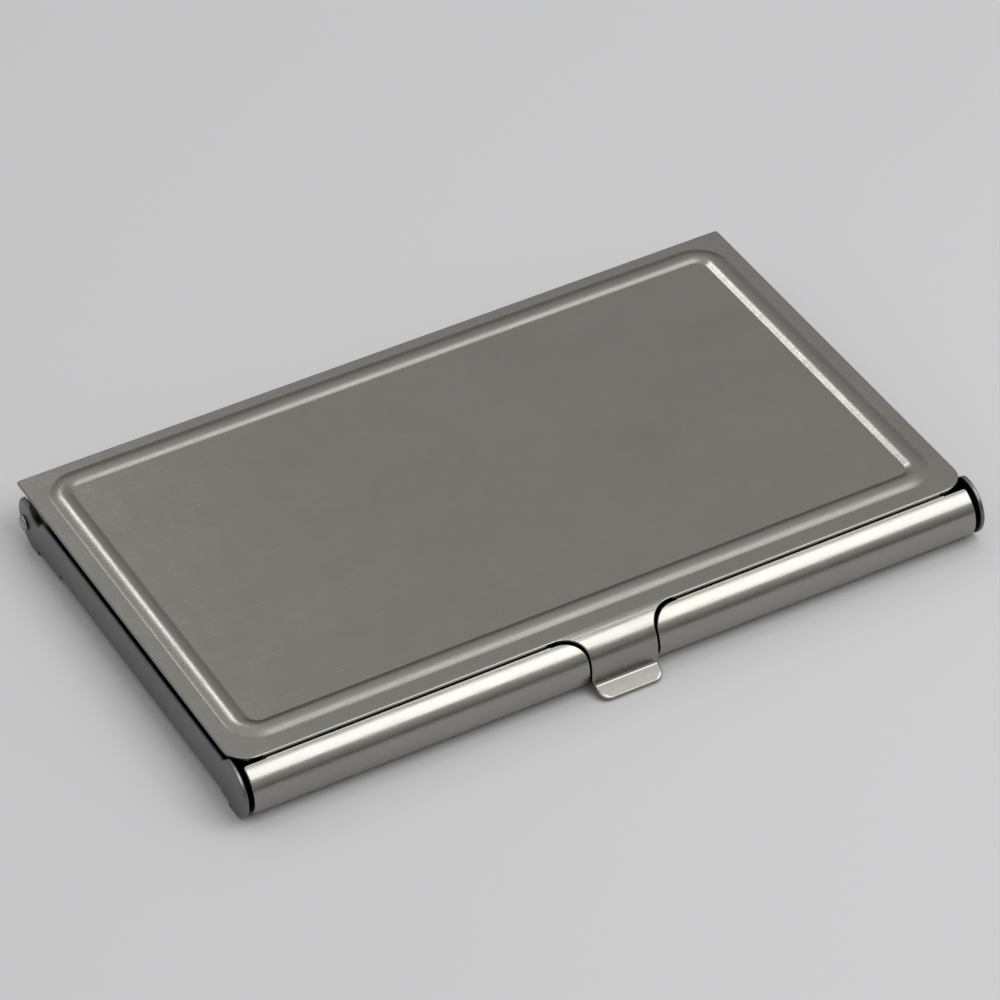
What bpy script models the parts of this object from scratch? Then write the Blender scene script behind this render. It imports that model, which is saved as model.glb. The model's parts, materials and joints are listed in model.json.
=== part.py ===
"""Business card case in sheet steel: rolled tray, two end plates and a hinged lid.

The case lies flat with its thumb tab towards -Y and its hinge towards +Y.
Lengths are in metres, and Z = 0 is the surface that the case lies on.
"""
import math

import bmesh
import bpy
from mathutils import Matrix

MM = 0.001

# Lid
LID_LENGTH = 93.0 * MM
LID_DEPTH = 56.5 * MM
LID_SHEET = 0.45 * MM
LID_FRONT_CORNER = 3.0 * MM
LID_REAR_CORNER = 0.4 * MM
CASE_HEIGHT = 7.0 * MM

# Stiffening bead pressed up around the lid
BEAD_HEIGHT = 0.32 * MM
BEAD_WIDTH = 2.8 * MM
BEAD_CORNER = 3.0 * MM
BEAD_SIDE_INSET = 3.6 * MM
BEAD_FRONT_INSET = 3.9 * MM
BEAD_REAR_INSET = 3.25 * MM

# Tongue that folds down over the front roll, and its thumb tab
TONGUE_WIDTH = 8.4 * MM
TONGUE_GAP = 0.3 * MM
TAB_WIDTH = 8.0 * MM
TAB_LENGTH = 1.85 * MM
TAB_TILT = math.radians(22)
TAB_BEND = 0.4 * MM
TAB_CORNER = 1.2 * MM
TAB_FLOOR_GAP = 0.17 * MM

# Tray: floor, front roll and rear roll from one sheet
TRAY_SHEET = 0.4 * MM
ROLL_LENGTH = 90.8 * MM
ROLL_SETBACK = 0.5 * MM
SEAM_GAP = 0.5 * MM
NOTCH_CORNER = 3.0 * MM
NOTCH_FOOT_CORNER = 0.8 * MM
LIP_REACH = 1.4 * MM
LIP_INNER_CLEAR = 0.5 * MM
REAR_ROLL_LENGTH = 88.0 * MM
REAR_ROLL_INSET = 0.83 * MM

# End plates
PLATE_SHEET = 0.5 * MM
PLATE_SPAN = 93.8 * MM
PLATE_TOP_GAP = 0.7 * MM
NOSE_RUN = 1.2 * MM
NOSE_TOP_ANGLE = math.radians(75)
DIP_DEPTH = 1.1 * MM
DIP_LENGTH = 2.2 * MM
FOOT_LENGTH = 2.5 * MM
FOOT_RELIEF = 0.6 * MM

# Hinge
PIVOT_INSET = 2.3 * MM
PIVOT_HEIGHT = 2.65 * MM
PIVOT_RADIUS = 0.5 * MM
PIVOT_CLEARANCE = 0.15 * MM
RIVET_HEAD_RADIUS = 1.0 * MM
RIVET_HEAD_HEIGHT = 0.45 * MM
BRACKET_SHEET = 0.5 * MM
EAR_RADIUS = 1.4 * MM
ARM_LENGTH = 8.0 * MM
ARM_DEPTH = 2.0 * MM
BRACKET_FOOT_WIDTH = 4.0 * MM
BRACKET_FOOT_RUN = 3.5 * MM
WASHER_RADIUS = 1.3 * MM
WASHER_SHEET = 0.25 * MM
SPRING_SHEET = 0.25 * MM
SPRING_WIDTH = 2.0 * MM
SPRING_LENGTH = 7.6 * MM
SPRING_HEIGHT = 2.9 * MM
SPRING_BEND = 0.5 * MM

# Shared clearances
SEAT_GAP = 0.3 * MM
SIDE_GAP = 0.35 * MM
HEAD_GAP = 0.15 * MM
FOLD_RADIUS = 0.2 * MM
WELD_DISTANCE = 0.001 * MM

# Facets
ROLL_STEPS = 14
CORNER_STEPS = 6
BEND_STEPS = 4
ROUND_STEPS = 24

# Places that follow from the sizes above
ROLL_RADIUS = CASE_HEIGHT / 2
LID_UNDERSIDE = CASE_HEIGHT - LID_SHEET
TAB_BEND_TURN = math.pi / 2 - TAB_TILT
TAB_REACH = (
    ROLL_RADIUS - ROLL_SETBACK
    + TAB_BEND * (1 - math.cos(TAB_BEND_TURN))
    + TAB_LENGTH * math.cos(TAB_TILT)
)
TAB_BEND_HEIGHT = (
    TAB_FLOOR_GAP
    + LID_SHEET * math.cos(TAB_TILT)
    + TAB_LENGTH * math.sin(TAB_TILT)
    + TAB_BEND * math.sin(TAB_BEND_TURN)
)
LID_FRONT_Y = TAB_REACH - (LID_DEPTH + TAB_REACH) / 2
LID_REAR_Y = LID_FRONT_Y + LID_DEPTH
ROLL_Y = LID_FRONT_Y + ROLL_SETBACK
REAR_ROLL_Y = LID_REAR_Y - REAR_ROLL_INSET - ROLL_RADIUS
PIVOT_Y = LID_REAR_Y - PIVOT_INSET
NOTCH_HALF = TONGUE_WIDTH / 2 + TONGUE_GAP
PLATE_OUTER_X = PLATE_SPAN / 2
PLATE_INNER_X = PLATE_OUTER_X - PLATE_SHEET
PLATE_TOP = LID_UNDERSIDE - PLATE_TOP_GAP
SILL_HEIGHT = TRAY_SHEET + SEAT_GAP
EAR_OUTER_X = PLATE_INNER_X - SIDE_GAP
EAR_INNER_X = EAR_OUTER_X - BRACKET_SHEET
WASHER_OUTER_X = EAR_INNER_X - HEAD_GAP
WASHER_INNER_X = WASHER_OUTER_X - WASHER_SHEET
BRACKET_FRONT_Y = PIVOT_Y + EAR_RADIUS - ARM_LENGTH
SPRING_Y = PIVOT_Y - EAR_RADIUS - SEAT_GAP
SPRING_FRONT_Y = SPRING_Y - SPRING_LENGTH

BEAD_PROFILE = [
    (-0.5, 0.0), (-0.38, 0.14), (-0.28, 0.5), (-0.18, 0.86),
    (0.0, 1.0),
    (0.18, 0.86), (0.28, 0.5), (0.38, 0.14), (0.5, 0.0),
]


def clear_scene():
    for item in list(bpy.data.objects):
        bpy.data.objects.remove(item, do_unlink=True)


def steel(name, colour, roughness):
    material = bpy.data.materials.new(name)
    material.use_nodes = True
    shader = material.node_tree.nodes["Principled BSDF"]
    shader.inputs["Base Color"].default_value = (*colour, 1.0)
    shader.inputs["Metallic"].default_value = 1.0
    shader.inputs["Roughness"].default_value = roughness
    return material


def make_object(name, bm, material, parent=None):
    """Store a mesh built in world coordinates, with its origin at its parent's."""
    bmesh.ops.remove_doubles(bm, verts=bm.verts[:], dist=WELD_DISTANCE)
    bmesh.ops.recalc_face_normals(bm, faces=bm.faces[:])
    if parent:
        bmesh.ops.translate(bm, verts=bm.verts[:], vec=-parent.location)
    mesh = bpy.data.meshes.new(name)
    bm.to_mesh(mesh)
    bm.free()
    mesh.materials.append(material)
    mesh.shade_smooth()
    mesh.set_sharp_from_angle(angle=math.radians(30))
    item = bpy.data.objects.new(name, mesh)
    item.parent = parent
    bpy.context.scene.collection.objects.link(item)
    return item


def arc(centre, radius, start, end, steps):
    """Points on an arc from one angle to another, both ends included."""
    angles = [start + (end - start) * i / steps for i in range(steps + 1)]
    return [
        (centre[0] + radius * math.cos(a), centre[1] + radius * math.sin(a))
        for a in angles
    ]


def rounded(corners):
    """Outline through (u, v, radius) corners, each with radius turned into an arc."""
    outline = []
    for i, (u, v, radius) in enumerate(corners):
        if radius == 0:
            outline.append((u, v))
            continue
        before = corners[i - 1]
        after = corners[(i + 1) % len(corners)]
        back = math.atan2(before[1] - v, before[0] - u)
        ahead = math.atan2(after[1] - v, after[0] - u)
        turn = (ahead - back + math.pi) % (2 * math.pi) - math.pi
        middle = back + turn / 2
        reach = radius / math.sin(abs(turn) / 2)
        centre = (u + reach * math.cos(middle), v + reach * math.sin(middle))
        sweep = math.pi - abs(turn)
        first = middle + math.pi + math.copysign(sweep / 2, turn)
        last = middle + math.pi - math.copysign(sweep / 2, turn)
        outline += arc(centre, radius, first, last, CORNER_STEPS)
    return outline


def mirrored(half):
    """Close a right-hand half outline with its left-hand mirror image."""
    return half + [(-u, v, radius) for u, v, radius in reversed(half)]


def offset_left(path, distance):
    """The path moved sideways to its left, with mitred corners."""
    normals = []
    for a, b in zip(path, path[1:]):
        length = math.dist(a, b)
        normals.append((-(b[1] - a[1]) / length, (b[0] - a[0]) / length))
    moved = []
    for i, point in enumerate(path):
        before = normals[max(i - 1, 0)]
        after = normals[min(i, len(normals) - 1)]
        scale = distance / (1 + before[0] * after[0] + before[1] * after[1])
        moved.append((
            point[0] + (before[0] + after[0]) * scale,
            point[1] + (before[1] + after[1]) * scale,
        ))
    return moved


def lengths_along(path):
    """Running length at each point of a path."""
    total = [0.0]
    for a, b in zip(path, path[1:]):
        total.append(total[-1] + math.dist(a, b))
    return total


def add_loop(bm, points):
    """Closed loop of edges in the flat blank; each point is (u, v) or (u, v, height)."""
    verts = [bm.verts.new((p[0], p[1], p[2] if len(p) > 2 else 0.0)) for p in points]
    for a, b in zip(verts, verts[1:] + verts[:1]):
        bm.edges.new((a, b))
    return verts


def bend_blank(bm, path, thickness):
    """Give the flat blank its thickness and bend it along a (y, z) path.

    The blank lies in x and running length, and its z is how far the sheet is
    pressed out. It is cut at each bend line first, so that its facets stay flat.
    """
    stops = lengths_along(path)
    for stop in stops[1:-1]:
        everything = bm.verts[:] + bm.edges[:] + bm.faces[:]
        bmesh.ops.bisect_plane(
            bm, geom=everything, dist=WELD_DISTANCE,
            plane_co=(0, stop, 0), plane_no=(0, 1, 0),
        )
    outer_verts = bm.verts[:]
    grown = bmesh.ops.extrude_face_region(bm, geom=bm.faces[:], use_keep_orig=True)
    inner_verts = [g for g in grown["geom"] if isinstance(g, bmesh.types.BMVert)]
    for verts, line in ((outer_verts, path), (inner_verts, offset_left(path, thickness))):
        for vert in verts:
            along = vert.co.y
            i = max(k for k in range(len(stops) - 1) if k == 0 or along >= stops[k])
            share = (along - stops[i]) / (stops[i + 1] - stops[i])
            y = line[i][0] + (line[i + 1][0] - line[i][0]) * share
            z = line[i][1] + (line[i + 1][1] - line[i][1]) * share
            vert.co = (vert.co.x, y, z + vert.co.z)


def plate(outline, holes, x_near, x_far):
    """Flat plate across X, from a (y, z) outline with round holes."""
    bm = bmesh.new()
    for loop in [outline] + holes:
        add_loop(bm, loop)
    bmesh.ops.triangle_fill(bm, use_beauty=True, edges=bm.edges[:])
    for vert in bm.verts:
        vert.co = (x_near, vert.co.x, vert.co.y)
    grown = bmesh.ops.extrude_face_region(bm, geom=bm.faces[:], use_keep_orig=True)
    verts = [g for g in grown["geom"] if isinstance(g, bmesh.types.BMVert)]
    bmesh.ops.translate(bm, verts=verts, vec=(x_far - x_near, 0, 0))
    bmesh.ops.recalc_face_normals(bm, faces=bm.faces[:])
    return bm


def fold_flange(bm, face, axis_point, turn, reach):
    """Fold a plate's edge face through a quarter turn, then run it out flat."""
    step = Matrix.Rotation(turn / BEND_STEPS, 3, "Y")
    for _ in range(BEND_STEPS):
        grown = bmesh.ops.extrude_face_region(bm, geom=[face])
        verts = [g for g in grown["geom"] if isinstance(g, bmesh.types.BMVert)]
        bmesh.ops.rotate(bm, verts=verts, cent=axis_point, matrix=step)
        bmesh.ops.delete(bm, geom=[face], context="FACES_ONLY")
        face = next(g for g in grown["geom"] if isinstance(g, bmesh.types.BMFace))
    grown = bmesh.ops.extrude_face_region(bm, geom=[face])
    verts = [g for g in grown["geom"] if isinstance(g, bmesh.types.BMVert)]
    bmesh.ops.translate(bm, verts=verts, vec=(reach, 0, 0))
    bmesh.ops.delete(bm, geom=[face], context="FACES_ONLY")


def edge_face(bm, z, y_low, y_high):
    """The face across the plate's thickness at height z between two y values."""
    for face in bm.faces:
        level = all(abs(v.co.z - z) < WELD_DISTANCE for v in face.verts)
        inside = all(y_low < v.co.y < y_high for v in face.verts)
        if level and inside:
            return face
    raise ValueError("no edge face there")


def turned(profile, side):
    """Solid of revolution about the hinge axis from (x, radius) points."""
    bm = bmesh.new()
    verts = [bm.verts.new((side * x, PIVOT_Y, PIVOT_HEIGHT + r)) for x, r in profile]
    edges = [bm.edges.new(pair) for pair in zip(verts, verts[1:])]
    bmesh.ops.spin(
        bm, geom=verts + edges, cent=(0, PIVOT_Y, PIVOT_HEIGHT), axis=(1, 0, 0),
        dvec=(0, 0, 0), angle=2 * math.pi, steps=ROUND_STEPS, use_merge=True,
    )
    return bm


def pivot_hole():
    """Round hole on the hinge axis, as (y, z) points."""
    radius = PIVOT_RADIUS + PIVOT_CLEARANCE
    ring = arc((PIVOT_Y, PIVOT_HEIGHT), radius, 0, 2 * math.pi, ROUND_STEPS)
    return ring[:-1]


def tray_path():
    """Outer skin of the tray in (y, z): lip, front roll, floor, rear roll."""
    lip_height = LID_UNDERSIDE - SEAT_GAP
    lip = [
        (LID_FRONT_Y + LIP_REACH, lip_height),
        (LID_FRONT_Y - SEAM_GAP * 0.3, lip_height),
    ]
    top = math.acos(-(ROLL_SETBACK + SEAM_GAP) / ROLL_RADIUS)
    front = arc((ROLL_Y, ROLL_RADIUS), ROLL_RADIUS, top, 1.5 * math.pi, ROLL_STEPS)
    rise = math.asin((lip_height - ROLL_RADIUS) / ROLL_RADIUS)
    rear = arc((REAR_ROLL_Y, ROLL_RADIUS), ROLL_RADIUS, -math.pi / 2, rise, ROLL_STEPS)
    return lip + front + rear


def build_tray(material):
    """Floor with the notched front roll and the rear roll, in one sheet."""
    path = tray_path()
    stops = lengths_along(path)
    roll_top = stops[2]
    floor_front = stops[2 + ROLL_STEPS]
    floor_rear = stops[3 + ROLL_STEPS]
    recess = ROLL_RADIUS - LID_SHEET - TONGUE_GAP
    notch_turn = math.pi + math.acos(recess / ROLL_RADIUS)
    roll_start = math.acos(-(ROLL_SETBACK + SEAM_GAP) / ROLL_RADIUS)
    notch_foot = roll_top + ROLL_RADIUS * (notch_turn - roll_start)
    lip_in = NOTCH_HALF + NOTCH_CORNER + LIP_INNER_CLEAR
    lip_out = LID_LENGTH / 2 - LID_FRONT_CORNER - LIP_INNER_CLEAR
    wide_front = floor_front + NOSE_RUN + TRAY_SHEET
    wide_rear = floor_rear - NOSE_RUN - TRAY_SHEET
    half = [
        (NOTCH_HALF, notch_foot, NOTCH_FOOT_CORNER),
        (NOTCH_HALF, roll_top, NOTCH_CORNER),
        (lip_in, roll_top, 0),
        (lip_in, 0, 0),
        (lip_out, 0, 0),
        (lip_out, roll_top, 0),
        (ROLL_LENGTH / 2, roll_top, 0),
        (ROLL_LENGTH / 2, wide_front, 0),
        (PLATE_INNER_X, wide_front, 0),
        (PLATE_INNER_X, wide_rear, 0),
        (REAR_ROLL_LENGTH / 2, wide_rear, 0),
        (REAR_ROLL_LENGTH / 2, stops[-1], 0),
    ]
    bm = bmesh.new()
    bm.faces.new(add_loop(bm, rounded(mirrored(half))))
    bend_blank(bm, path, TRAY_SHEET)
    return make_object("tray", bm, material)


def end_plate_outline():
    """End plate in (y, z): front nose, top edge with its dip, rear round, sill."""
    nose = arc(
        (ROLL_Y, ROLL_RADIUS), ROLL_RADIUS, 1.5 * math.pi, NOSE_TOP_ANGLE, ROLL_STEPS + 4
    )
    hump_top = LID_UNDERSIDE - SEAT_GAP
    hump = math.asin((hump_top - ROLL_RADIUS) / ROLL_RADIUS)
    rear = arc((REAR_ROLL_Y, ROLL_RADIUS), ROLL_RADIUS, hump, -math.pi / 2, ROLL_STEPS)
    dip_front = REAR_ROLL_Y - DIP_LENGTH
    dip_slope = DIP_DEPTH / 2
    fold = SILL_HEIGHT + PLATE_SHEET + FOLD_RADIUS
    foot_front = ROLL_Y + ROLL_RADIUS
    foot_rear = SPRING_FRONT_Y - FOOT_RELIEF
    top = [
        (ROLL_Y + ROLL_RADIUS * 0.6, PLATE_TOP),
        (dip_front - dip_slope, PLATE_TOP),
        (dip_front, PLATE_TOP - DIP_DEPTH),
        (REAR_ROLL_Y - dip_slope, PLATE_TOP - DIP_DEPTH),
        (REAR_ROLL_Y + dip_slope, hump_top),
    ]
    sill = [
        (REAR_ROLL_Y - NOSE_RUN, 0),
        (REAR_ROLL_Y - NOSE_RUN, SILL_HEIGHT),
        (foot_rear + FOOT_RELIEF, SILL_HEIGHT),
        (foot_rear + FOOT_RELIEF, fold),
        (foot_rear, fold),
        (foot_front, fold),
        (foot_front - FOOT_RELIEF, fold),
        (foot_front - FOOT_RELIEF, SILL_HEIGHT),
        (ROLL_Y + NOSE_RUN, SILL_HEIGHT),
        (ROLL_Y + NOSE_RUN, 0),
    ]
    return nose + top + rear + sill, (foot_front, foot_rear, fold)


def build_end_plate(name, side, material):
    """Side wall with its spot-welded foot folded in over the tray floor."""
    outline, (foot_front, foot_rear, fold) = end_plate_outline()
    bm = plate(outline, [pivot_hole()], side * PLATE_INNER_X, side * PLATE_OUTER_X)
    slack = WELD_DISTANCE
    face = edge_face(bm, fold, foot_front - slack, foot_rear + slack)
    axis_point = (side * (PLATE_INNER_X - FOLD_RADIUS), 0, fold)
    fold_flange(bm, face, axis_point, side * math.pi / 2, -side * FOOT_LENGTH)
    return make_object(name, bm, material)


def build_rivet(name, side, material):
    """Hinge rivet: domed head outside the plate, clenched tail inside the washer."""
    head_x = PLATE_OUTER_X + HEAD_GAP
    tail_x = WASHER_INNER_X - HEAD_GAP
    dome = arc((0, 0), 1, 0, math.pi / 2, BEND_STEPS)
    head = [
        (head_x + RIVET_HEAD_HEIGHT * u, RIVET_HEAD_RADIUS * v) for u, v in dome
    ]
    tail = [
        (tail_x - RIVET_HEAD_HEIGHT * u, RIVET_HEAD_RADIUS * v) for u, v in reversed(dome)
    ]
    shank = [(head_x, PIVOT_RADIUS), (tail_x, PIVOT_RADIUS)]
    return make_object(name, turned(head + shank + tail, side), material)


def build_washer(name, side, material):
    """Thin washer between the lid bracket's eye and the rivet's tail."""
    hole = PIVOT_RADIUS + PIVOT_CLEARANCE
    ring = [
        (WASHER_OUTER_X, hole), (WASHER_OUTER_X, WASHER_RADIUS),
        (WASHER_INNER_X, WASHER_RADIUS), (WASHER_INNER_X, hole),
        (WASHER_OUTER_X, hole),
    ]
    return make_object(name, turned(ring, side), material)


def build_spring(name, side, material):
    """Leaf spring on the floor, whose raised end bears on the bracket's eye."""
    bend = arc(
        (SPRING_Y - SPRING_BEND, SILL_HEIGHT + SPRING_BEND),
        SPRING_BEND, -math.pi / 2, 0, BEND_STEPS,
    )
    path = [(SPRING_FRONT_Y, SILL_HEIGHT)] + bend + [(SPRING_Y, SILL_HEIGHT + SPRING_HEIGHT)]
    length = lengths_along(path)[-1]
    near = side * (EAR_OUTER_X - SPRING_WIDTH)
    far = side * EAR_OUTER_X
    bm = bmesh.new()
    bm.faces.new(add_loop(bm, [(near, 0), (far, 0), (far, length), (near, length)]))
    bend_blank(bm, path, SPRING_SHEET)
    return make_object(name, bm, material)


def lid_path():
    """Outer skin of the lid in (y, z): panel, tongue over the roll, thumb tab."""
    tongue = arc((ROLL_Y, ROLL_RADIUS), ROLL_RADIUS, math.pi / 2, math.pi, ROLL_STEPS)
    bend_centre = (ROLL_Y - ROLL_RADIUS - TAB_BEND, TAB_BEND_HEIGHT)
    bend = arc(bend_centre, TAB_BEND, 0, -TAB_BEND_TURN, BEND_STEPS)
    tip = (
        bend[-1][0] - TAB_LENGTH * math.cos(TAB_TILT),
        bend[-1][1] - TAB_LENGTH * math.sin(TAB_TILT),
    )
    return [(LID_REAR_Y, CASE_HEIGHT)] + tongue + bend + [tip]


def lid_outline(path):
    """Flat blank of the lid in x and running length from its rear edge."""
    stops = lengths_along(path)
    tab_root = stops[2 + ROLL_STEPS]
    tip = stops[-1]
    root_corner = NOTCH_CORNER + TONGUE_GAP
    half = [
        (TAB_WIDTH / 2, tip, TAB_CORNER),
        (TAB_WIDTH / 2, tab_root, 0),
        (TONGUE_WIDTH / 2, tab_root - TAB_BEND, 0),
        (TONGUE_WIDTH / 2, LID_DEPTH, root_corner),
        (LID_LENGTH / 2, LID_DEPTH, LID_FRONT_CORNER),
        (LID_LENGTH / 2, 0, LID_REAR_CORNER),
    ]
    return rounded(mirrored(half))


def bead_loop(shift, height):
    """One loop of the bead, at a signed distance inwards from its ridge."""
    right = LID_LENGTH / 2 - BEAD_SIDE_INSET - shift
    rear = BEAD_REAR_INSET + shift
    front = LID_DEPTH - BEAD_FRONT_INSET - shift
    radius = BEAD_CORNER - shift
    half = [(right, front, radius), (right, rear, radius)]
    return [(x, s, height) for x, s in rounded(mirrored(half))]


def build_lid(material, hinge):
    """Lid panel with its raised bead, tongue and thumb tab, in one sheet."""
    path = lid_path()
    bm = bmesh.new()
    outline = add_loop(bm, lid_outline(path))
    loops = [
        add_loop(bm, bead_loop(share * BEAD_WIDTH, rise * BEAD_HEIGHT))
        for share, rise in BEAD_PROFILE
    ]
    rim = {e for v in outline + loops[0] for e in v.link_edges}
    bmesh.ops.triangle_fill(bm, use_beauty=True, edges=list(rim))
    for wide, narrow in zip(loops, loops[1:]):
        count = len(wide)
        for i in range(count):
            j = (i + 1) % count
            bm.faces.new((wide[i], wide[j], narrow[j], narrow[i]))
    bm.faces.new(loops[-1])
    bend_blank(bm, path, LID_SHEET)
    return make_object("lid", bm, material, hinge)


def build_bracket(name, side, material, hinge):
    """Hinge bracket: eye on the pivot, arm up to a foot welded under the lid."""
    top = LID_UNDERSIDE - SEAT_GAP
    fold = top - BRACKET_SHEET - FOLD_RADIUS
    foot_rear = BRACKET_FRONT_Y + BRACKET_FOOT_RUN
    eye = arc((PIVOT_Y, PIVOT_HEIGHT), EAR_RADIUS, 0, -math.pi, CORNER_STEPS * 2)
    outline = eye + [
        (PIVOT_Y - EAR_RADIUS, top - ARM_DEPTH),
        (BRACKET_FRONT_Y, top - ARM_DEPTH),
        (BRACKET_FRONT_Y, fold),
        (foot_rear, fold),
        (foot_rear + FOOT_RELIEF, fold),
        (foot_rear + FOOT_RELIEF, top),
        (PIVOT_Y, top),
        (PIVOT_Y + EAR_RADIUS, top - ARM_DEPTH),
    ]
    bm = plate(outline, [pivot_hole()], side * EAR_INNER_X, side * EAR_OUTER_X)
    slack = WELD_DISTANCE
    face = edge_face(bm, fold, BRACKET_FRONT_Y - slack, foot_rear + slack)
    axis_point = (side * (EAR_INNER_X - FOLD_RADIUS), 0, fold)
    fold_flange(bm, face, axis_point, -side * math.pi / 2, -side * BRACKET_FOOT_WIDTH)
    return make_object(name, bm, material, hinge)


def build_hinge():
    """Empty on the hinge axis, which carries the lid's pieces."""
    hinge = bpy.data.objects.new("lid_hinge", None)
    hinge.location = (0, PIVOT_Y, PIVOT_HEIGHT)
    bpy.context.scene.collection.objects.link(hinge)
    return hinge


def build_case():
    clear_scene()
    lid_steel = steel("lid_steel", (0.42, 0.40, 0.37), 0.34)
    tray_steel = steel("tray_steel", (0.42, 0.40, 0.37), 0.30)
    plate_steel = steel("plate_steel", (0.36, 0.36, 0.36), 0.38)
    rivet_steel = steel("rivet_steel", (0.50, 0.49, 0.47), 0.25)
    spring_steel = steel("spring_steel", (0.30, 0.31, 0.33), 0.30)
    hinge = build_hinge()
    build_tray(tray_steel)
    build_lid(lid_steel, hinge)
    for word, side in (("left", -1), ("right", 1)):
        build_end_plate(f"{word}_end_plate", side, plate_steel)
        build_rivet(f"{word}_hinge_rivet", side, rivet_steel)
        build_washer(f"{word}_hinge_washer", side, rivet_steel)
        build_spring(f"{word}_snap_spring", side, spring_steel)
        build_bracket(f"{word}_lid_bracket", side, plate_steel, hinge)


build_case()
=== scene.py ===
"""Looks of the business card case: fine sheet-metal meshes, satin steel and a plain studio."""

import json
import math

import bmesh
import bpy
from mathutils import Euler, Matrix, Vector


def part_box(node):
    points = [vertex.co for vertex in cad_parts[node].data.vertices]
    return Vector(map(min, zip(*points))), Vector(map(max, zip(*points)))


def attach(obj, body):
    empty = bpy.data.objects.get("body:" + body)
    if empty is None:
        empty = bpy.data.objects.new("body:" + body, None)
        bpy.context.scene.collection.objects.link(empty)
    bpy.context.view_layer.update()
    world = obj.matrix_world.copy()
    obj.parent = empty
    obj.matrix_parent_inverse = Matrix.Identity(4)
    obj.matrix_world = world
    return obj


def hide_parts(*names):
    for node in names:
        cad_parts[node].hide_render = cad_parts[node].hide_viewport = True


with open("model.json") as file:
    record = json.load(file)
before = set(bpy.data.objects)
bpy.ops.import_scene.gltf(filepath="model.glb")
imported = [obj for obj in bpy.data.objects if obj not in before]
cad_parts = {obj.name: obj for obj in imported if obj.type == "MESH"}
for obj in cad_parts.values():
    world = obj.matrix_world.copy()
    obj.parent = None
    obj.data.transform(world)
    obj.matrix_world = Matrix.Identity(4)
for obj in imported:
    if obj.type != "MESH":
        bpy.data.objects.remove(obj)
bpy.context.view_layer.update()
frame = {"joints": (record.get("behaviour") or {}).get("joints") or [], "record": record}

MM = 0.001

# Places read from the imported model
LID_LOW, LID_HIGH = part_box("lid")
PLATE_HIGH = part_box("right_end_plate")[1]
TRAY_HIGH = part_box("tray")[1]
BRACKET_LOW, BRACKET_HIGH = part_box("right_lid_bracket")
SPRING_LOW, SPRING_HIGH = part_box("right_snap_spring")
WASHER_LOW, WASHER_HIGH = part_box("right_hinge_washer")
RIVET_LOW, RIVET_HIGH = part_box("right_hinge_rivet")
MOUNTS = {mount["name"]: mount for mount in frame["record"]["mounts"]}
PIVOT = Vector(frame["joints"][0]["pos_m"])
CASE_HEIGHT = MOUNTS["lid_top"]["pos_m"][2]

# Lid
LID_DEPTH = 56.5 * MM
LID_SHEET = 0.45 * MM
LID_FRONT_CORNER = 3.0 * MM
LID_REAR_CORNER = 0.4 * MM
BEAD_OUTER_RUN = 1.6 * MM
BEAD_INNER_RUN = 1.2 * MM
BEAD_CORNER = 2.6 * MM
BEAD_SIDE_INSET = 3.5 * MM
BEAD_FRONT_INSET = 3.9 * MM
BEAD_REAR_INSET = 3.2 * MM
BEAD_ROUNDNESS = 1.2
BEAD_HALF_LOOPS = 12
BEAD_CORNER_STEPS = 20
TONGUE_WIDTH = 8.4 * MM
TONGUE_GAP = 0.22 * MM
TAB_WIDTH = 8.0 * MM
TAB_LENGTH = 1.85 * MM
TAB_TILT = math.radians(22)
TAB_BEND = 0.4 * MM
TAB_CORNER = 1.2 * MM

# Tray
TRAY_SHEET = 0.4 * MM
ROLL_LENGTH = 91.5 * MM
ROLL_SETBACK = 0.5 * MM
SEAM_GAP = 0.5 * MM
NOTCH_CORNER = 3.0 * MM
NOTCH_FOOT_CORNER = 0.8 * MM
LIP_REACH = 1.4 * MM
LIP_OVERHANG = 0.15 * MM
LIP_END_CLEAR = 0.5 * MM
REAR_ROLL_LENGTH = 88.0 * MM
NOSE_RUN = 1.2 * MM

# End plates, brackets and springs
PLATE_TOP_GAP = 0.7 * MM
PLATE_CORNER = 0.5 * MM
NOSE_TOP_ANGLE = math.radians(75)
NOSE_SLOPE_END = 2.1 * MM
DIP_DEPTH = 1.1 * MM
DIP_LENGTH = 2.2 * MM
FOOT_LENGTH = 2.5 * MM
FOOT_RELIEF = 0.6 * MM
FOLD_RADIUS = 0.2 * MM
SEAT_GAP = 0.3 * MM
EAR_RADIUS = 1.4 * MM
ARM_DEPTH = 2.0 * MM
BRACKET_FOOT_RUN = 3.5 * MM
BRACKET_FOOT_WIDTH = 4.0 * MM
BRACKET_SHEET = 0.5 * MM
SPRING_SHEET = 0.25 * MM
SPRING_BEND = 0.5 * MM
SPRING_CORNER = 0.35 * MM
PIVOT_RADIUS = 0.5 * MM
PIVOT_CLEARANCE = 0.15 * MM
HOLE_RADIUS = PIVOT_RADIUS + PIVOT_CLEARANCE

# Edge finish and mesh fineness
SHEET_EDGE = 0.15 * MM
PLATE_EDGE = 0.12 * MM
WASHER_EDGE = 0.06 * MM
ARC_STEP = 0.22 * MM
LEAST_ARC_STEPS = 4
EDGE_STEPS = 3
ROLL_STEPS = 48
FOLD_STEPS = 8
ROUND_STEPS = 64
WELD_DISTANCE = 0.0001 * MM
LEVEL_COSINE = 0.99999
SHARP_ANGLE = math.radians(34)
BEVEL_ANGLE = math.radians(40)

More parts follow.
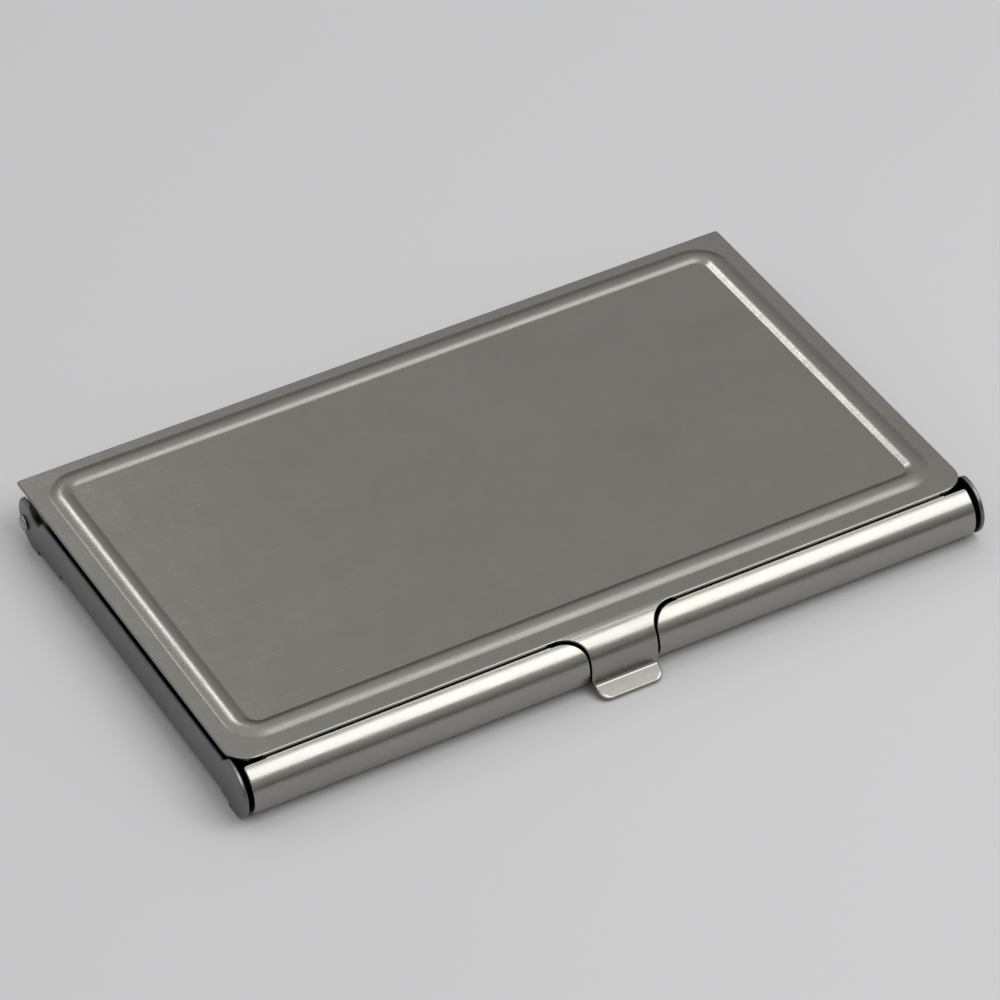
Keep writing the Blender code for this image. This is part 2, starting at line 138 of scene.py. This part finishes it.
# Places that follow
ROLL_RADIUS = CASE_HEIGHT / 2
LID_UNDERSIDE = CASE_HEIGHT - LID_SHEET
BEAD_HEIGHT = LID_HIGH.z - CASE_HEIGHT
LID_FRONT_Y = LID_HIGH.y - LID_DEPTH
ROLL_Y = LID_FRONT_Y + ROLL_SETBACK
REAR_ROLL_Y = PLATE_HIGH.y - ROLL_RADIUS
PLATE_OUTER_X = PLATE_HIGH.x
PLATE_INNER_X = TRAY_HIGH.x
SILL_HEIGHT = SPRING_LOW.z
LIP_HEIGHT = LID_UNDERSIDE - SEAT_GAP
NOTCH_HALF = TONGUE_WIDTH / 2 + TONGUE_GAP
TAB_BEND_TURN = math.pi / 2 - TAB_TILT
TAB_BEND_HEIGHT = (
    LID_LOW.z
    + LID_SHEET * math.cos(TAB_TILT)
    + TAB_LENGTH * math.sin(TAB_TILT)
    + TAB_BEND * math.sin(TAB_BEND_TURN)
)


# ---------------------------------------------------------------- outlines

def arc(centre, radius, start, end, steps):
    angles = [start + (end - start) * i / steps for i in range(steps + 1)]
    return [
        (centre[0] + radius * math.cos(a), centre[1] + radius * math.sin(a))
        for a in angles
    ]


def rounded(corners, steps=None):
    """Outline through (u, v, radius) corners, each with radius turned into an arc."""
    outline = []
    for i, (u, v, radius) in enumerate(corners):
        if radius == 0:
            outline.append((u, v))
            continue
        before = corners[i - 1]
        after = corners[(i + 1) % len(corners)]
        back = math.atan2(before[1] - v, before[0] - u)
        ahead = math.atan2(after[1] - v, after[0] - u)
        turn = (ahead - back + math.pi) % (2 * math.pi) - math.pi
        middle = back + turn / 2
        reach = radius / math.sin(abs(turn) / 2)
        centre = (u + reach * math.cos(middle), v + reach * math.sin(middle))
        sweep = math.pi - abs(turn)
        first = middle + math.pi + math.copysign(sweep / 2, turn)
        last = middle + math.pi - math.copysign(sweep / 2, turn)
        count = steps or max(LEAST_ARC_STEPS, round(radius * sweep / ARC_STEP))
        outline += arc(centre, radius, first, last, count)
    return outline


def mirrored(half):
    return half + [(-u, v, radius) for u, v, radius in reversed(half)]


def offset_left(path, distance, closed=False):
    """The path moved sideways to its left, with mitred corners."""
    count = len(path)
    edges = count if closed else count - 1
    normals = []
    for i in range(edges):
        a, b = path[i], path[(i + 1) % count]
        length = math.dist(a, b)
        normals.append((-(b[1] - a[1]) / length, (b[0] - a[0]) / length))
    moved = []
    for i, point in enumerate(path):
        before = normals[i - 1] if closed or i > 0 else normals[0]
        after = normals[i] if i < edges else normals[-1]
        scale = distance / (1 + before[0] * after[0] + before[1] * after[1])
        moved.append((
            point[0] + (before[0] + after[0]) * scale,
            point[1] + (before[1] + after[1]) * scale,
        ))
    return moved


def inset(outline, distance):
    """The closed outline drawn in by a distance, whichever way it runs."""
    area = sum(
        a[0] * b[1] - b[0] * a[1] for a, b in zip(outline, outline[1:] + outline[:1])
    )
    return offset_left(outline, math.copysign(distance, area), closed=True)


def lengths_along(path):
    total = [0.0]
    for a, b in zip(path, path[1:]):
        total.append(total[-1] + math.dist(a, b))
    return total


# ---------------------------------------------------------------- meshes

def ring(bm, points, height):
    return [bm.verts.new((u, v, height)) for u, v in points]


def join_rings(bm, first, second):
    count = len(first)
    for i in range(count):
        j = (i + 1) % count
        bm.faces.new((first[i], first[j], second[j], second[i]))


def ring_edges(bm, verts):
    return [
        bm.edges.get(pair) or bm.edges.new(pair)
        for pair in zip(verts, verts[1:] + verts[:1])
    ]


def rounded_rim(bm, outline, thickness):
    """Side wall of a flat sheet from z = 0 down, with both its edges rounded over."""
    turns = [math.pi / 2 * i / EDGE_STEPS for i in range(EDGE_STEPS + 1)]
    levels = [(SHEET_EDGE * (1 - math.sin(t)), -SHEET_EDGE * (1 - math.cos(t))) for t in turns]
    levels += [(shift, -thickness - z) for shift, z in reversed(levels)]
    rings = [ring(bm, inset(outline, shift), z) for shift, z in levels]
    for first, second in zip(rings, rings[1:]):
        join_rings(bm, first, second)
    return rings[0], rings[-1]


def flat_sheet(outline, thickness):
    bm = bmesh.new()
    top, bottom = rounded_rim(bm, outline, thickness)
    bm.faces.new(top)
    bm.faces.new(bottom)
    return bm


def bend_sheet(bm, path, thickness):
    """Cut the flat sheet at each bend line, then bend it along a (y, z) path."""
    stops = lengths_along(path)
    inner = offset_left(path, thickness)
    for stop in stops[1:-1]:
        everything = bm.verts[:] + bm.edges[:] + bm.faces[:]
        bmesh.ops.bisect_plane(
            bm, geom=everything, dist=WELD_DISTANCE,
            plane_co=(0, stop, 0), plane_no=(0, 1, 0),
        )
    for vert in bm.verts:
        along, depth = vert.co.y, -vert.co.z / thickness
        i = max(k for k in range(len(stops) - 1) if k == 0 or along >= stops[k])
        share = (along - stops[i]) / (stops[i + 1] - stops[i])
        skins = [
            [line[i][axis] + (line[i + 1][axis] - line[i][axis]) * share for axis in (0, 1)]
            for line in (path, inner)
        ]
        y, z = [out + (back - out) * depth for out, back in zip(*skins)]
        vert.co = (vert.co.x, y, z)
    return bm


def cross_plate(outline, x_near, x_far):
    """Flat plate across X, from a (y, z) outline, with the hinge hole through it."""
    bm = bmesh.new()
    hole = arc((PIVOT.y, PIVOT.z), HOLE_RADIUS, 0, 2 * math.pi, ROUND_STEPS)[:-1]
    for loop in (outline, hole):
        ring_edges(bm, ring(bm, loop, 0))
    bmesh.ops.triangle_fill(bm, use_beauty=True, edges=bm.edges[:])
    for vert in bm.verts:
        vert.co = (x_near, vert.co.x, vert.co.y)
    grown = bmesh.ops.extrude_face_region(bm, geom=bm.faces[:], use_keep_orig=True)
    verts = [g for g in grown["geom"] if isinstance(g, bmesh.types.BMVert)]
    bmesh.ops.translate(bm, verts=verts, vec=(x_far - x_near, 0, 0))
    bmesh.ops.recalc_face_normals(bm, faces=bm.faces[:])
    return bm


def fold_flange(bm, z, y_low, y_high, axis_x, turn, reach):
    """Fold the plate's edge face at height z through a quarter turn, then run it out."""
    slack = 0.001 * MM
    face = next(
        f for f in bm.faces
        if all(abs(v.co.z - z) < slack and y_low - slack < v.co.y < y_high + slack for v in f.verts)
    )
    step = Matrix.Rotation(turn / FOLD_STEPS, 3, "Y")
    for stage in range(FOLD_STEPS + 1):
        grown = bmesh.ops.extrude_face_region(bm, geom=[face])
        verts = [g for g in grown["geom"] if isinstance(g, bmesh.types.BMVert)]
        if stage < FOLD_STEPS:
            bmesh.ops.rotate(bm, verts=verts, cent=(axis_x, 0, z), matrix=step)
        else:
            bmesh.ops.translate(bm, verts=verts, vec=(reach, 0, 0))
        bmesh.ops.delete(bm, geom=[face], context="FACES_ONLY")
        face = next(g for g in grown["geom"] if isinstance(g, bmesh.types.BMFace))


def turned(profile, side):
    """Solid of revolution about the hinge axis from (x, radius) points."""
    bm = bmesh.new()
    verts = [bm.verts.new((side * x, PIVOT.y, PIVOT.z + r)) for x, r in profile]
    edges = [bm.edges.new(pair) for pair in zip(verts, verts[1:])]
    bmesh.ops.spin(
        bm, geom=verts + edges, cent=(0, PIVOT.y, PIVOT.z), axis=(1, 0, 0),
        dvec=(0, 0, 0), angle=2 * math.pi, steps=ROUND_STEPS, use_merge=True,
    )
    return bm


def piece(name, bm, material, body, replaces, edge=0.0):
    """Store a mesh as a finished piece that rides on a body in place of a CAD node."""
    bmesh.ops.remove_doubles(bm, verts=bm.verts[:], dist=WELD_DISTANCE)
    bmesh.ops.recalc_face_normals(bm, faces=bm.faces[:])
    mesh = bpy.data.meshes.new(name)
    bm.to_mesh(mesh)
    bm.free()
    mesh.materials.append(material)
    mesh.set_sharp_from_angle(angle=SHARP_ANGLE)
    for face in mesh.polygons:
        face.use_smooth = abs(face.normal.z) < LEVEL_COSINE
    item = bpy.data.objects.new(name, mesh)
    bpy.context.scene.collection.objects.link(item)
    if edge:
        bevel = item.modifiers.new("edge", "BEVEL")
        bevel.width = edge
        bevel.segments = EDGE_STEPS
        bevel.limit_method = "ANGLE"
        bevel.angle_limit = BEVEL_ANGLE
        bevel.use_clamp_overlap = False
    shading = item.modifiers.new("shading", "WEIGHTED_NORMAL")
    shading.keep_sharp = True
    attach(item, body)
    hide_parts(replaces)
    return item


# ---------------------------------------------------------------- steel

# Finish of each steel: linear colour, roughness, depth of the grain, cloudiness
STEELS = {
    "lid_steel": ((0.30, 0.29, 0.265), 0.24, 0.09, 0.03),
    "tray_steel": ((0.32, 0.31, 0.285), 0.24, 0.10, 0.03),
    "plate_steel": ((0.17, 0.17, 0.17), 0.32, 0.15, 0.08),
    "bracket_steel": ((0.34, 0.34, 0.33), 0.36, 0.25, 0.08),
    "rivet_steel": ((0.40, 0.39, 0.37), 0.22, 0.10, 0.05),
    "spring_steel": ((0.20, 0.21, 0.235), 0.30, 0.15, 0.06),
}

# Each pattern: waves per metre along X, Y and Z, turn of the pattern, octaves
GRAIN = ((180, 5200, 5200), (0, 0, 0), 3.0)
CLOUD = ((70, 110, 110), (0, 0, 0.4), 4.0)
SMUDGE = ((420, 260, 300), (0, 0, -0.7), 3.0)
HAIRLINE = ((45, 3600, 2600), (0.2, 0.1, 0.55), 2.0)

NOISE_SPREAD = (0.3, 0.7)
HAIRLINE_SPREAD = (0.70, 0.78)
HAIRLINE_DEPTH = 0.35
SMUDGE_POLISH = (-0.02, 0.03)
GRAIN_POLISH = (-0.03, 0.03)
BUMP_HEIGHT = 0.02 * MM


def pattern(tree, coordinates, stretch, turn, octaves):
    """Noise drawn out along one direction."""
    mapping = tree.nodes.new("ShaderNodeMapping")
    mapping.inputs["Rotation"].default_value = turn
    mapping.inputs["Scale"].default_value = stretch
    noise = tree.nodes.new("ShaderNodeTexNoise")
    noise.inputs["Scale"].default_value = 1.0
    noise.inputs["Detail"].default_value = octaves
    noise.inputs["Roughness"].default_value = 0.6
    tree.links.new(coordinates, mapping.inputs["Vector"])
    tree.links.new(mapping.outputs["Vector"], noise.inputs["Vector"])
    return noise.outputs["Fac"]


def mapped(tree, value, low, high, spread=NOISE_SPREAD):
    """A noise value within the spread turned into one from low to high."""
    node = tree.nodes.new("ShaderNodeMapRange")
    node.inputs["From Min"].default_value = spread[0]
    node.inputs["From Max"].default_value = spread[1]
    node.inputs["To Min"].default_value = low
    node.inputs["To Max"].default_value = high
    tree.links.new(value, node.inputs["Value"])
    return node.outputs["Result"]


def added(tree, first, second):
    node = tree.nodes.new("ShaderNodeMath")
    node.operation = "ADD"
    tree.links.new(first, node.inputs[0])
    tree.links.new(second, node.inputs[1])
    return node.outputs[0]


def cloudy_colour(tree, cloud, colour, haze):
    tint = tree.nodes.new("ShaderNodeMix")
    tint.data_type = "RGBA"
    tint.inputs["A"].default_value = (*[c * (1 - haze) for c in colour], 1)
    tint.inputs["B"].default_value = (*[c * (1 + haze) for c in colour], 1)
    tree.links.new(mapped(tree, cloud, 0.0, 1.0), tint.inputs["Factor"])
    return tint.outputs["Result"]


def satin_steel(name, colour, roughness, grain_depth, haze):
    """Sheet steel with a fine grain along X, cloudy polish and faint hairline scratches."""
    material = bpy.data.materials.new(name)
    material.use_nodes = True
    tree = material.node_tree
    shader = tree.nodes["Principled BSDF"]
    shader.inputs["Metallic"].default_value = 1.0
    place = tree.nodes.new("ShaderNodeTexCoord").outputs["Object"]
    grain = pattern(tree, place, *GRAIN)
    cloud = pattern(tree, place, *CLOUD)
    smudge = pattern(tree, place, *SMUDGE)
    hairline = pattern(tree, place, *HAIRLINE)

    tree.links.new(cloudy_colour(tree, cloud, colour, haze), shader.inputs["Base Color"])

    smudged = mapped(tree, smudge, *[roughness + change for change in SMUDGE_POLISH])
    polish = added(tree, smudged, mapped(tree, grain, *GRAIN_POLISH))
    tree.links.new(polish, shader.inputs["Roughness"])

    scratches = mapped(tree, hairline, 0.0, -HAIRLINE_DEPTH, HAIRLINE_SPREAD)
    bump = tree.nodes.new("ShaderNodeBump")
    bump.inputs["Strength"].default_value = grain_depth
    bump.inputs["Distance"].default_value = BUMP_HEIGHT
    tree.links.new(added(tree, mapped(tree, grain, 0.0, 1.0), scratches), bump.inputs["Height"])
    tree.links.new(bump.outputs["Normal"], shader.inputs["Normal"])
    return material


# ---------------------------------------------------------------- the case

def build_tray(material):
    top = math.acos(-(ROLL_SETBACK + SEAM_GAP) / ROLL_RADIUS)
    lip = [
        (LID_FRONT_Y + LIP_REACH, LIP_HEIGHT),
        (LID_FRONT_Y - LIP_OVERHANG, LIP_HEIGHT),
    ]
    front = arc((ROLL_Y, ROLL_RADIUS), ROLL_RADIUS, top, 1.5 * math.pi, ROLL_STEPS)
    rise = math.asin((LIP_HEIGHT - ROLL_RADIUS) / ROLL_RADIUS)
    rear = arc((REAR_ROLL_Y, ROLL_RADIUS), ROLL_RADIUS, -math.pi / 2, rise, ROLL_STEPS)
    path = lip + front + rear
    stops = lengths_along(path)
    roll_top = stops[len(lip)]
    recess = ROLL_RADIUS - LID_SHEET - TONGUE_GAP
    notch_foot = roll_top + ROLL_RADIUS * (math.pi + math.acos(recess / ROLL_RADIUS) - top)
    lip_in = NOTCH_HALF + NOTCH_CORNER + LIP_END_CLEAR
    lip_out = LID_HIGH.x - LID_FRONT_CORNER - LIP_END_CLEAR
    floor_front = len(lip) + ROLL_STEPS
    wide_front = stops[floor_front] + NOSE_RUN + TRAY_SHEET
    wide_rear = stops[floor_front + 1] - NOSE_RUN - TRAY_SHEET
    small = TRAY_SHEET
    half = [
        (NOTCH_HALF, notch_foot, NOTCH_FOOT_CORNER),
        (NOTCH_HALF, roll_top, NOTCH_CORNER),
        (lip_in, roll_top, 0),
        (lip_in, 0, small),
        (lip_out, 0, small),
        (lip_out, roll_top, 0),
        (ROLL_LENGTH / 2, roll_top, small),
        (ROLL_LENGTH / 2, wide_front, small),
        (PLATE_INNER_X, wide_front, small),
        (PLATE_INNER_X, wide_rear, small),
        (REAR_ROLL_LENGTH / 2, wide_rear, small),
        (REAR_ROLL_LENGTH / 2, stops[-1], small),
    ]
    bm = bend_sheet(flat_sheet(rounded(mirrored(half)), TRAY_SHEET), path, TRAY_SHEET)
    return piece("rolled_tray", bm, material, "case", "tray")


def bead_profile():
    """Cross section of the bead: (distance inward from its ridge, height) points."""
    section = []
    for i in range(-BEAD_HALF_LOOPS, BEAD_HALF_LOOPS + 1):
        share = i / BEAD_HALF_LOOPS
        run = BEAD_INNER_RUN if share > 0 else BEAD_OUTER_RUN
        rise = max(math.cos(math.pi / 2 * share), 0) ** BEAD_ROUNDNESS
        section.append((run * share, BEAD_HEIGHT * rise))
    return section


def bead_rings(bm, depth):
    """Rings of the bead pressed into one skin of the flat lid."""
    rings = []
    for shift, height in bead_profile():
        right = LID_HIGH.x - BEAD_SIDE_INSET - shift
        front = LID_DEPTH - BEAD_FRONT_INSET - shift
        rear = BEAD_REAR_INSET + shift
        radius = BEAD_CORNER - shift
        half = [(right, front, radius), (right, rear, radius)]
        rings.append(ring(bm, rounded(mirrored(half), BEAD_CORNER_STEPS), height - depth))
    return rings


def build_lid(material):
    tongue = arc((ROLL_Y, ROLL_RADIUS), ROLL_RADIUS, math.pi / 2, math.pi, ROLL_STEPS // 2)
    bend_centre = (ROLL_Y - ROLL_RADIUS - TAB_BEND, TAB_BEND_HEIGHT)
    bend = arc(bend_centre, TAB_BEND, 0, -TAB_BEND_TURN, FOLD_STEPS)
    tip = (
        bend[-1][0] - TAB_LENGTH * math.cos(TAB_TILT),
        bend[-1][1] - TAB_LENGTH * math.sin(TAB_TILT),
    )
    path = [(LID_HIGH.y, CASE_HEIGHT)] + tongue + bend + [tip]
    stops = lengths_along(path)
    tab_root = stops[1 + len(tongue)]
    half = [
        (TAB_WIDTH / 2, stops[-1], TAB_CORNER),
        (TAB_WIDTH / 2, tab_root, 0),
        (TONGUE_WIDTH / 2, tab_root - TAB_BEND, 0),
        (TONGUE_WIDTH / 2, LID_DEPTH, NOTCH_CORNER + TONGUE_GAP),
        (LID_HIGH.x, LID_DEPTH, LID_FRONT_CORNER),
        (LID_HIGH.x, 0, LID_REAR_CORNER),
    ]
    bm = bmesh.new()
    for rim, depth in zip(rounded_rim(bm, rounded(mirrored(half)), LID_SHEET), (0, LID_SHEET)):
        rings = bead_rings(bm, depth)
        edges = ring_edges(bm, rim) + ring_edges(bm, rings[0])
        bmesh.ops.triangle_fill(bm, use_beauty=True, edges=edges)
        for first, second in zip(rings, rings[1:]):
            join_rings(bm, first, second)
        bm.faces.new(rings[-1])
    bend_sheet(bm, path, LID_SHEET)
    return piece("lid_shell", bm, material, "lid_assembly", "lid")


def build_end_plate(word, side, material):
    nose = arc(
        (ROLL_Y, ROLL_RADIUS), ROLL_RADIUS, 1.5 * math.pi, NOSE_TOP_ANGLE, ROLL_STEPS
    )
    hump = math.asin((LIP_HEIGHT - ROLL_RADIUS) / ROLL_RADIUS)
    rear = arc((REAR_ROLL_Y, ROLL_RADIUS), ROLL_RADIUS, hump, -math.pi / 2, ROLL_STEPS)
    plate_top = LID_UNDERSIDE - PLATE_TOP_GAP
    dip_front = REAR_ROLL_Y - DIP_LENGTH
    half_slope = DIP_DEPTH / 2
    fold = SILL_HEIGHT + (PLATE_OUTER_X - PLATE_INNER_X) + FOLD_RADIUS
    foot_front = ROLL_Y + ROLL_RADIUS
    foot_rear = SPRING_LOW.y - FOOT_RELIEF
    top = rounded([
        (ROLL_Y + NOSE_SLOPE_END, plate_top, 0),
        (dip_front - half_slope, plate_top, PLATE_CORNER),
        (dip_front, plate_top - DIP_DEPTH, PLATE_CORNER),
        (REAR_ROLL_Y - half_slope, plate_top - DIP_DEPTH, PLATE_CORNER),
        (REAR_ROLL_Y + half_slope, LIP_HEIGHT, 0),
    ])
    sill = [
        (REAR_ROLL_Y - NOSE_RUN, 0),
        (REAR_ROLL_Y - NOSE_RUN, SILL_HEIGHT),
        (foot_rear + FOOT_RELIEF, SILL_HEIGHT),
        (foot_rear + FOOT_RELIEF, fold),
        (foot_rear, fold),
        (foot_front, fold),
        (foot_front - FOOT_RELIEF, fold),
        (foot_front - FOOT_RELIEF, SILL_HEIGHT),
        (ROLL_Y + NOSE_RUN, SILL_HEIGHT),
        (ROLL_Y + NOSE_RUN, 0),
    ]
    bm = cross_plate(nose + top + rear + sill, side * PLATE_INNER_X, side * PLATE_OUTER_X)
    axis_x = side * (PLATE_INNER_X - FOLD_RADIUS)
    fold_flange(bm, fold, foot_front, foot_rear, axis_x, side * math.pi / 2, -side * FOOT_LENGTH)
    return piece(
        f"{word}_plate_shell", bm, material, "case",
        f"{word}_end_plate", PLATE_EDGE,
    )


def build_bracket(word, side, material):
    top = BRACKET_HIGH.z
    fold = top - BRACKET_SHEET - FOLD_RADIUS
    front_y = BRACKET_LOW.y
    foot_rear = front_y + BRACKET_FOOT_RUN
    eye = arc((PIVOT.y, PIVOT.z), EAR_RADIUS, 0, -math.pi, ROLL_STEPS // 2)
    outline = eye + [
        (PIVOT.y - EAR_RADIUS, top - ARM_DEPTH),
        (front_y, top - ARM_DEPTH),
        (front_y, fold),
        (foot_rear, fold),
        (foot_rear + FOOT_RELIEF, fold),
        (foot_rear + FOOT_RELIEF, top),
        (PIVOT.y, top),
        (PIVOT.y + EAR_RADIUS, top - ARM_DEPTH),
    ]
    outer_x = side * BRACKET_HIGH.x
    inner_x = side * (BRACKET_HIGH.x - BRACKET_SHEET)
    bm = cross_plate(outline, inner_x, outer_x)
    axis_x = inner_x - side * FOLD_RADIUS
    fold_flange(
        bm, fold, front_y, foot_rear, axis_x, -side * math.pi / 2, -side * BRACKET_FOOT_WIDTH
    )
    return piece(
        f"{word}_bracket_shell", bm, material, "lid_assembly",
        f"{word}_lid_bracket", PLATE_EDGE,
    )


def build_spring(word, side, material):
    bend = arc(
        (SPRING_HIGH.y - SPRING_BEND, SPRING_LOW.z + SPRING_BEND),
        SPRING_BEND, -math.pi / 2, 0, FOLD_STEPS,
    )
    path = [(SPRING_LOW.y, SPRING_LOW.z)] + bend + [(SPRING_HIGH.y, SPRING_HIGH.z)]
    length = lengths_along(path)[-1]
    near, far = side * SPRING_LOW.x, side * SPRING_HIGH.x
    corners = ((near, 0), (far, 0), (far, length), (near, length))
    outline = rounded([(x, along, SPRING_CORNER) for x, along in corners])
    bm = bend_sheet(flat_sheet(outline, SPRING_SHEET), path, SPRING_SHEET)
    return piece(
        f"{word}_spring_leaf", bm, material, "case", f"{word}_snap_spring"
    )


def build_rivet(word, side, material):
    head_height = RIVET_HIGH.x - PLATE_OUTER_X
    head_radius = (RIVET_HIGH.z - RIVET_LOW.z) / 2
    gap = SEAT_GAP / 2
    dome = arc((0, 0), 1, 0, math.pi / 2, FOLD_STEPS * 2)
    head_x = PLATE_OUTER_X + gap
    tail_x = WASHER_LOW.x - gap
    height = head_height - gap
    head = [(head_x + height * u, head_radius * v) for u, v in dome]
    tail = [(tail_x - height * u, head_radius * v) for u, v in reversed(dome)]
    shank = [(head_x, PIVOT_RADIUS), (tail_x, PIVOT_RADIUS)]
    return piece(
        f"{word}_rivet_turned", turned(head + shank + tail, side), material,
        "case", f"{word}_hinge_rivet",
    )


def build_washer(word, side, material):
    outer_x, inner_x = WASHER_HIGH.x, WASHER_LOW.x
    radius = (WASHER_HIGH.z - WASHER_LOW.z) / 2
    corners = (
        (outer_x, HOLE_RADIUS), (outer_x, radius), (inner_x, radius), (inner_x, HOLE_RADIUS)
    )
    section = rounded([(x, reach, WASHER_EDGE) for x, reach in corners])
    return piece(
        f"{word}_washer_ring", turned(section + section[:1], side), material,
        "case", f"{word}_hinge_washer",
    )


def build_case():
    steels = {name: satin_steel(name, *finish) for name, finish in STEELS.items()}
    build_tray(steels["tray_steel"])
    build_lid(steels["lid_steel"])
    for word, side in (("left", -1), ("right", 1)):
        build_end_plate(word, side, steels["plate_steel"])
        build_bracket(word, side, steels["bracket_steel"])
        build_spring(word, side, steels["spring_steel"])
        build_rivet(word, side, steels["rivet_steel"])
        build_washer(word, side, steels["rivet_steel"])


# ---------------------------------------------------------------- studio

FLOOR_SIZE = 6.0
FLOOR_COLOUR = (0.60, 0.60, 0.61, 1)
FLOOR_ROUGHNESS = 0.6
SENSOR_WIDTH = 36.0

# Grey of the surroundings by height of the direction, from the horizon to overhead
SKY_STEPS = ((0.0, 0.12), (0.15, 0.22), (0.37, 0.46), (0.64, 0.55), (1.0, 0.85))
CAMERA_AIM = Vector((-0.562, -1.027, 7.0)) * MM
CAMERA_DISTANCE = 598.9 * MM
CAMERA_TURN = [math.radians(a) for a in (50.769, 2.158, -28.549)]
CAMERA_LENS = 189.88

# Softboxes: name, place and size in metres, radiance
SOFTBOXES = (
    ("top_softbox", (0.215, -0.263, 0.494), (0.42, 0.43), 2.75),
    ("overhead_softbox", (0.20, 0.09, 0.55), (0.30, 0.08), 1.7),
    ("rear_strip", (0.01, 0.43, 0.435), (0.085, 0.12), 4.8),
)


def build_floor():
    mesh = bpy.data.meshes.new("studio_floor")
    bm = bmesh.new()
    bmesh.ops.create_grid(bm, x_segments=1, y_segments=1, size=FLOOR_SIZE / 2)
    bm.to_mesh(mesh)
    bm.free()
    floor = bpy.data.objects.new("studio_floor", mesh)
    bpy.context.scene.collection.objects.link(floor)
    material = bpy.data.materials.new("studio_floor")
    material.use_nodes = True
    shader = material.node_tree.nodes["Principled BSDF"]
    shader.inputs["Base Color"].default_value = FLOOR_COLOUR
    shader.inputs["Roughness"].default_value = FLOOR_ROUGHNESS
    mesh.materials.append(material)


def build_world():
    """Grey surroundings that darken from overhead down to the horizon."""
    world = bpy.data.worlds.new("studio")
    world.use_nodes = True
    tree = world.node_tree
    place = tree.nodes.new("ShaderNodeTexCoord")
    split = tree.nodes.new("ShaderNodeSeparateXYZ")
    ramp = tree.nodes.new("ShaderNodeValToRGB")
    steps = ramp.color_ramp.elements
    while len(steps) < len(SKY_STEPS):
        steps.new(1.0)
    for step, (height, grey) in zip(steps, SKY_STEPS):
        step.position = height
        step.color = (grey, grey, grey, 1)
    tree.links.new(place.outputs["Generated"], split.inputs["Vector"])
    tree.links.new(split.outputs["Z"], ramp.inputs["Fac"])
    tree.links.new(ramp.outputs["Color"], tree.nodes["Background"].inputs["Color"])
    bpy.context.scene.world = world


def softbox(name, place, size, radiance):
    """Area light that faces the case, with its width level."""
    lamp = bpy.data.lights.new(name, "AREA")
    lamp.shape = "RECTANGLE"
    lamp.size, lamp.size_y = size
    lamp.energy = radiance * math.pi * size[0] * size[1]
    item = bpy.data.objects.new(name, lamp)
    away = Vector(place).normalized()
    across = (Vector((1, 0, 0)) - away * away.x).normalized()
    facing = Matrix((across, away.cross(across), away)).transposed()
    item.location = place
    item.rotation_euler = facing.to_euler()
    bpy.context.scene.collection.objects.link(item)


def build_camera():
    camera = bpy.data.cameras.new("camera")
    camera.lens = CAMERA_LENS
    camera.sensor_width = SENSOR_WIDTH
    item = bpy.data.objects.new("camera", camera)
    turn = Euler(CAMERA_TURN)
    item.rotation_euler = turn
    item.location = CAMERA_AIM - turn.to_matrix() @ Vector((0, 0, -1)) * CAMERA_DISTANCE
    bpy.context.scene.collection.objects.link(item)
    bpy.context.scene.camera = item


def build_studio():
    build_floor()
    build_world()
    for box in SOFTBOXES:
        softbox(*box)
    build_camera()
    bpy.context.scene.view_settings.view_transform = "Standard"


build_case()
build_studio()
